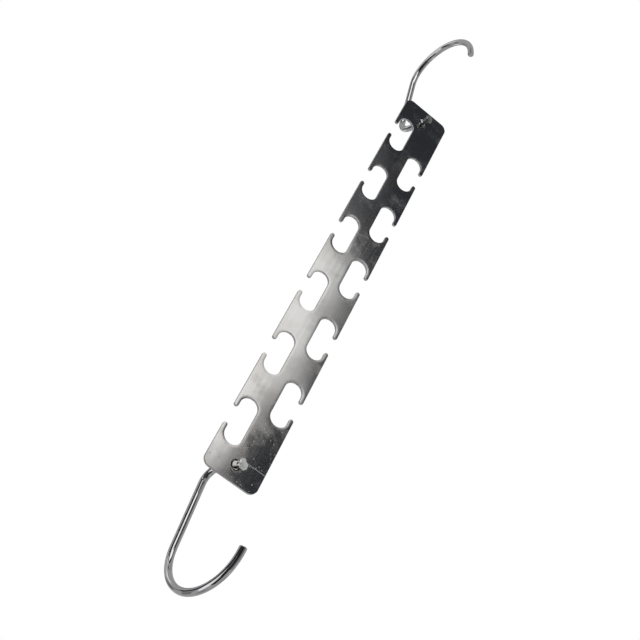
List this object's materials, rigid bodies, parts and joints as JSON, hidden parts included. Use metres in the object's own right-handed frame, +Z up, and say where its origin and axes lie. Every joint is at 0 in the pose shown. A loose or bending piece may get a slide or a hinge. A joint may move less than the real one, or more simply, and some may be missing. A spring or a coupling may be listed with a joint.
{
  "type": "multi-hole metal hanger",
  "caption": "Punched steel strip with staggered open slots along both edges for garment hangers, and a loose wire hook riveted into each end for hanging it on a wardrobe rod.",
  "frame": {"origin": "where the rod touches the inside of the upper hook's bow", "axes": "+Z up along the strip's length, with the strip hanging below the upper hook; -Y out of the strip's front face, the side with the rivet heads; +X to the right as seen from the front"},
  "size_m": [0.0343, 0.0507, 0.4243],
  "materials": {
    "strip_steel": "bright polished stainless sheet with fine scratches",
    "hook_wire": "bright polished round wire"
  },
  "bodies": {
    "upper_hook": {"upper_hook": "hook_wire"},
    "strip": {"slotted_strip": "strip_steel"},
    "lower_hook": {"lower_hook": "hook_wire"}
  },
  "joints": [
    {"name": "upper_hook_pivot", "type": "hinge", "parent": "upper_hook", "child": "strip", "pos_m": [0.01108, 0.00607, -0.06718], "axis": [0, 1, 0], "range_deg": [-170, 149]},
    {"name": "lower_hook_pivot", "type": "hinge", "parent": "strip", "child": "lower_hook", "pos_m": [0.01108, 0.00607, -0.34878], "axis": [0, 1, 0], "range_deg": [-154, 165]}
  ]
}
